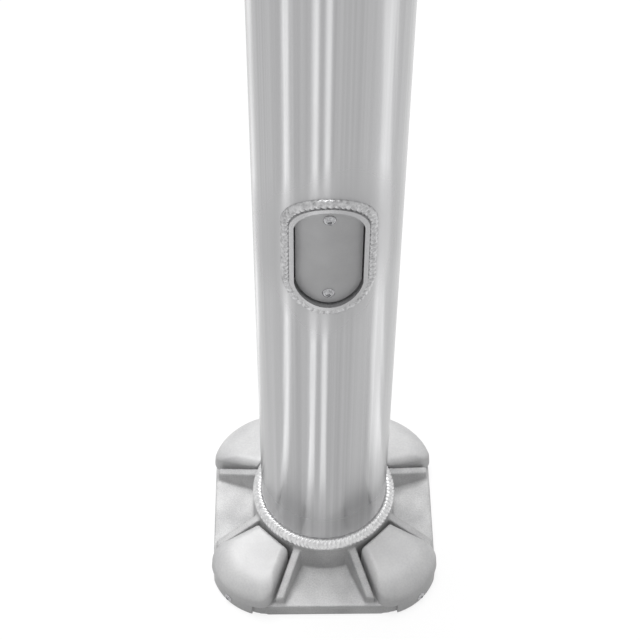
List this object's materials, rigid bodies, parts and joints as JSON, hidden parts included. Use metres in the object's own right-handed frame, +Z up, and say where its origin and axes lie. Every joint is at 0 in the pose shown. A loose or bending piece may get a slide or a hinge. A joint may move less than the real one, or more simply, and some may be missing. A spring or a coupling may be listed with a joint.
{
  "type": "light pole",
  "caption": "Round straight aluminium light pole on a square cast shoe base, with bolt covers at its corners, a covered handhole and a pipe tenon on top.",
  "frame": {"origin": "centre of the base's underside, on the foundation's top", "axes": "+Z up along the shaft, -Y towards the handhole"},
  "size_m": [0.2292, 0.2292, 4.877],
  "materials": {
    "cast_base": "sand cast, fine grain",
    "weld_bead": "bright, rippled by the welding passes",
    "extruded_shaft": "satin, drawn along its length",
    "handhole_frame": "satin, with a bright machined rim",
    "cast_cover": "sand cast, matte",
    "top_plate": "mill finish",
    "tenon_pipe": "mill finish",
    "bolt_cover": "cast, smooth and matte",
    "stainless_screw": "bright, machined"
  },
  "bodies": {
    "root": {"base_casting": "cast_base", "base_weld": "weld_bead", "base_inner_weld": "weld_bead", "shaft": "extruded_shaft", "handhole_frame": "handhole_frame", "handhole_weld": "weld_bead", "handhole_cover": "cast_cover", "handhole_screw_upper": "stainless_screw", "handhole_screw_lower": "stainless_screw", "top_plate": "top_plate", "top_plate_weld": "weld_bead", "tenon": "tenon_pipe", "tenon_weld": "weld_bead", "bolt_cover_front_right": "bolt_cover", "bolt_cover_screw_front_right": "stainless_screw", "bolt_cover_rear_right": "bolt_cover", "bolt_cover_screw_rear_right": "stainless_screw", "bolt_cover_rear_left": "bolt_cover", "bolt_cover_screw_rear_left": "stainless_screw", "bolt_cover_front_left": "bolt_cover", "bolt_cover_screw_front_left": "stainless_screw"}
  },
  "joints": []
}
